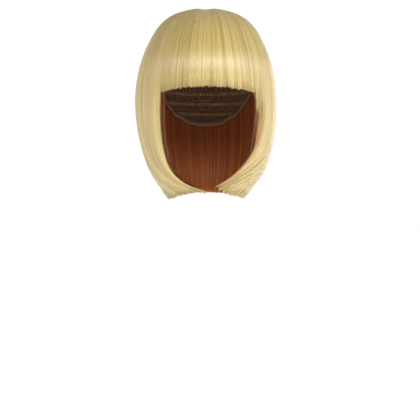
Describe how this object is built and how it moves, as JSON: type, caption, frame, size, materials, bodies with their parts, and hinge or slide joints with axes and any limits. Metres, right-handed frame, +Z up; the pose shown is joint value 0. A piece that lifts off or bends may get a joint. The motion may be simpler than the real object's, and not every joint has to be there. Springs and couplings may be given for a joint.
{
  "type": "bob wig",
  "caption": "Straight chin-length bob wig with a full blunt fringe and ends that turn in round the neck, on a fitted cap.",
  "frame": {"origin": "where the top of the wearer's head bears on the inside of the cap", "axes": "+Z up out of the top of the head, the wearer faces -Y, +X to the viewer's right in the picture"},
  "size_m": [0.1979, 0.2257, 0.2694],
  "materials": {
    "hair": "smooth synthetic hair fibre with a soft shine, light yellow blonde",
    "hair_shaded": "the same fibre where it lies in shade inside the wig",
    "cap_net": "matt elastic net"
  },
  "bodies": {
    "root": {"cap": "cap_net", "crown": "hair", "fringe": "hair", "left_curtain": "hair", "right_curtain": "hair", "right_face_lock": "hair", "left_under_layer": "hair_shaded", "back_hair": "hair"}
  },
  "joints": []
}
